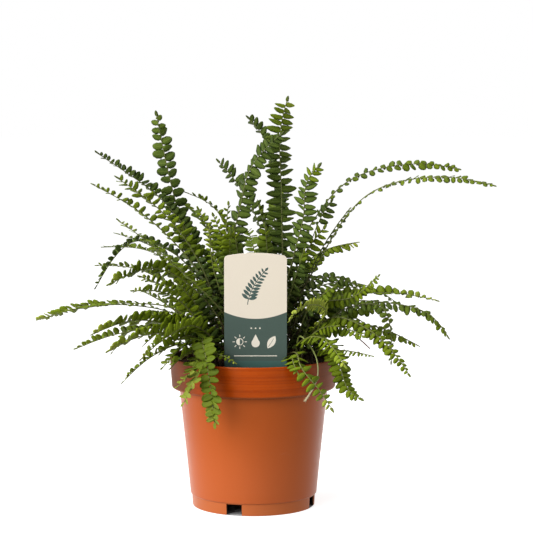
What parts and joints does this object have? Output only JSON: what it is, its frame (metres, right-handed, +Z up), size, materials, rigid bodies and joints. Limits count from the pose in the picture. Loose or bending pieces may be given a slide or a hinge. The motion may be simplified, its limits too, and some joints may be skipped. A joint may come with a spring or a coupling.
{
  "type": "potted lemon button fern",
  "caption": "Lemon button fern with arching fronds of small round leaflets, growing in a terracotta-coloured nursery pot with a plain plant label; stands by itself on its foot.",
  "frame": {"origin": "middle of the pot's foot, on the surface that the pot stands on", "axes": "+Z up along the pot's axis, -Y towards the front with the label, +X to the right as seen from the front"},
  "size_m": [0.331, 0.205, 0.294],
  "materials": {
    "pot": "satin terracotta-orange plastic",
    "soil": "crumbly dark potting soil of peat and bark",
    "label": "printed plastic card, cream above and dark grey-green below",
    "leaf": "soft satin leaf green, yellower towards the tips",
    "runner": "pale yellow-green runner with a fuzzy root tip",
    "bare_stalk": "dry brown stalk"
  },
  "bodies": {
    "root": {"pot": "pot", "soil": "soil", "label": "label", "runner": "runner", "bare_stalk": "bare_stalk", "frond_heart_01": "leaf", "frond_heart_02": "leaf", "frond_heart_03": "leaf", "frond_heart_04": "leaf", "frond_heart_05": "leaf", "frond_heart_06": "leaf", "frond_inner_01": "leaf", "frond_inner_02": "leaf", "frond_inner_03": "leaf", "frond_inner_04": "leaf", "frond_inner_05": "leaf", "frond_inner_06": "leaf", "frond_inner_07": "leaf", "frond_inner_08": "leaf", "frond_inner_09": "leaf", "frond_inner_10": "leaf", "frond_inner_11": "leaf", "frond_inner_12": "leaf", "frond_outer_01": "leaf", "frond_outer_02": "leaf", "frond_outer_03": "leaf", "frond_outer_04": "leaf", "frond_outer_05": "leaf", "frond_outer_06": "leaf", "frond_outer_07": "leaf", "frond_outer_08": "leaf", "frond_outer_09": "leaf", "frond_outer_10": "leaf", "frond_outer_11": "leaf", "frond_outer_12": "leaf", "frond_outer_13": "leaf", "frond_outer_14": "leaf", "frond_outer_15": "leaf", "frond_outer_16": "leaf", "frond_skirt_01": "leaf", "frond_skirt_02": "leaf", "frond_skirt_03": "leaf", "frond_skirt_04": "leaf", "frond_skirt_05": "leaf", "frond_skirt_06": "leaf", "frond_skirt_07": "leaf", "frond_skirt_08": "leaf", "frond_skirt_09": "leaf", "frond_skirt_10": "leaf", "frond_skirt_11": "leaf", "frond_skirt_12": "leaf", "frond_skirt_13": "leaf", "frond_skirt_14": "leaf", "frond_skirt_15": "leaf", "frond_skirt_16": "leaf", "frond_skirt_17": "leaf", "frond_skirt_18": "leaf", "frond_skirt_19": "leaf", "frond_skirt_20": "leaf", "frond_skirt_21": "leaf"}
  },
  "joints": []
}
